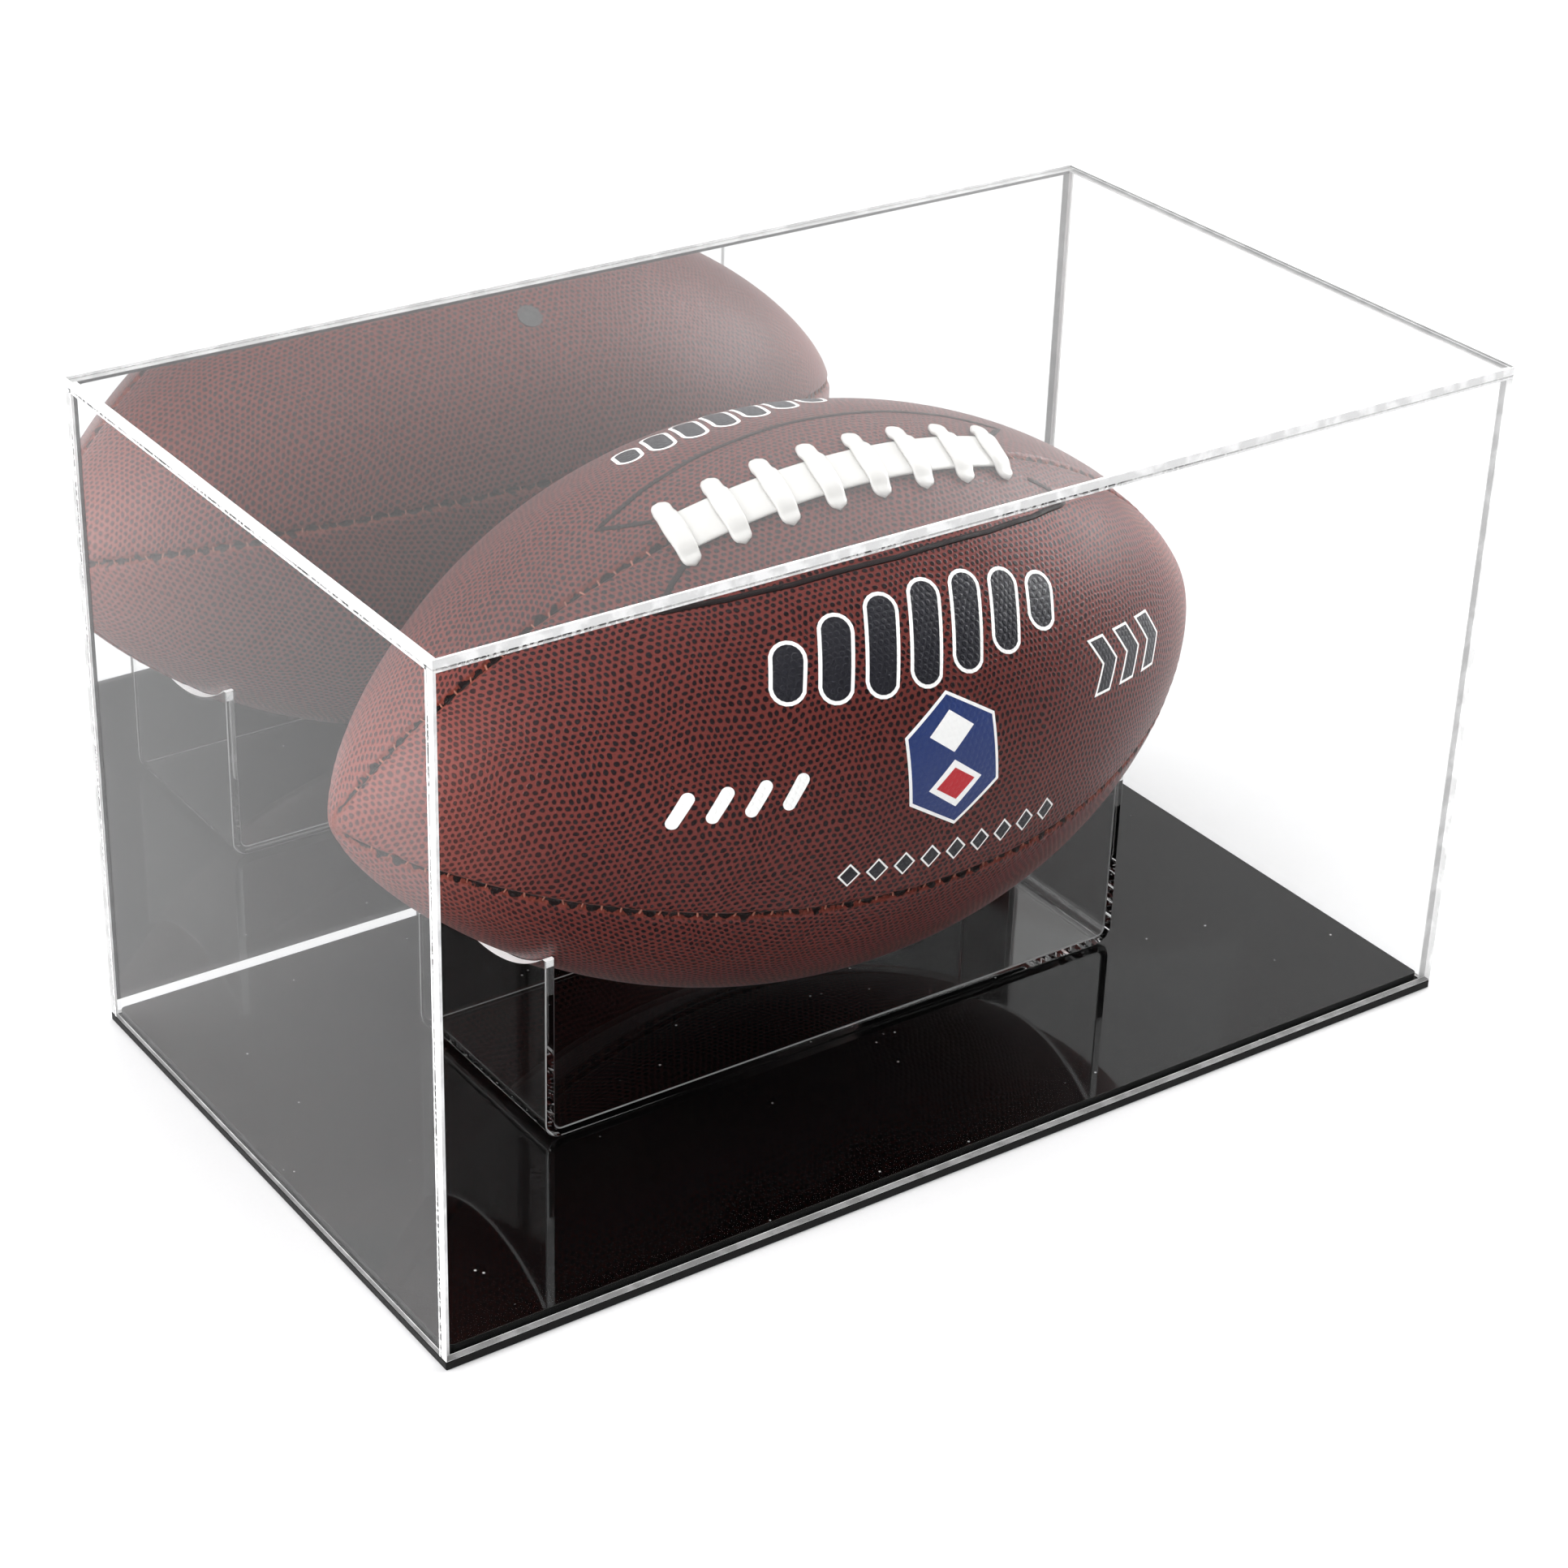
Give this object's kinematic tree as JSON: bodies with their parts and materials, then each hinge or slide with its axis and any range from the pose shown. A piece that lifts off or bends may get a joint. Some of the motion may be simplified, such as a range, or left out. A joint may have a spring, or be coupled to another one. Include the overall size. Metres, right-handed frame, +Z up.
{
  "type": "football display case",
  "caption": "Clear acrylic display case with a lift-off cover, mirrored back, black base and a U-shaped cradle that holds a laced football.",
  "frame": {"origin": "middle of the underside of the base", "axes": "+X along the case's length, -Y towards the front, +Z up"},
  "size_m": [0.35, 0.199, 0.206],
  "materials": {
    "black_acrylic": "polished gloss black cast acrylic",
    "clear_acrylic": "polished clear cast acrylic with bright sawn edges",
    "mirrored_acrylic": "clear acrylic silvered on its rear face and backed with grey paint",
    "pebbled_leather": "pebbled brown composite leather",
    "lining_cloth": "plain woven lining",
    "bladder_rubber": "smooth butyl rubber",
    "valve_rubber": "matt black rubber",
    "lace": "glossy white vinyl lace"
  },
  "bodies": {
    "base": {"base_lower_plate": "black_acrylic", "base_upper_plate": "black_acrylic", "ball_stand": "clear_acrylic"},
    "cover": {"cover_front_panel": "clear_acrylic", "cover_left_panel": "clear_acrylic", "cover_right_panel": "clear_acrylic", "cover_top_panel": "clear_acrylic", "cover_mirror_back_panel": "mirrored_acrylic"},
    "football": {"football_leather_front": "pebbled_leather", "football_leather_under": "pebbled_leather", "football_leather_rear": "pebbled_leather", "football_leather_top": "pebbled_leather", "football_lining_front": "lining_cloth", "football_lining_under": "lining_cloth", "football_lining_rear": "lining_cloth", "football_lining_top": "lining_cloth", "football_bladder": "bladder_rubber", "football_tongue": "lining_cloth", "football_valve": "valve_rubber", "lace_band": "lace", "lace_cross_1": "lace", "lace_cross_2": "lace", "lace_cross_3": "lace", "lace_cross_4": "lace", "lace_cross_5": "lace", "lace_cross_6": "lace", "lace_cross_7": "lace", "lace_cross_8": "lace"}
  },
  "joints": [
    {"name": "cover_lift", "type": "slide", "parent": "base", "child": "cover", "axis": [0, 0, 1], "range_m": [0, 0.22]},
    {"name": "ball_turn", "type": "hinge", "parent": "base", "child": "football", "pos_m": [0, 0.004, 0.1046], "axis": [1, 0, 0], "continuous": true}
  ]
}
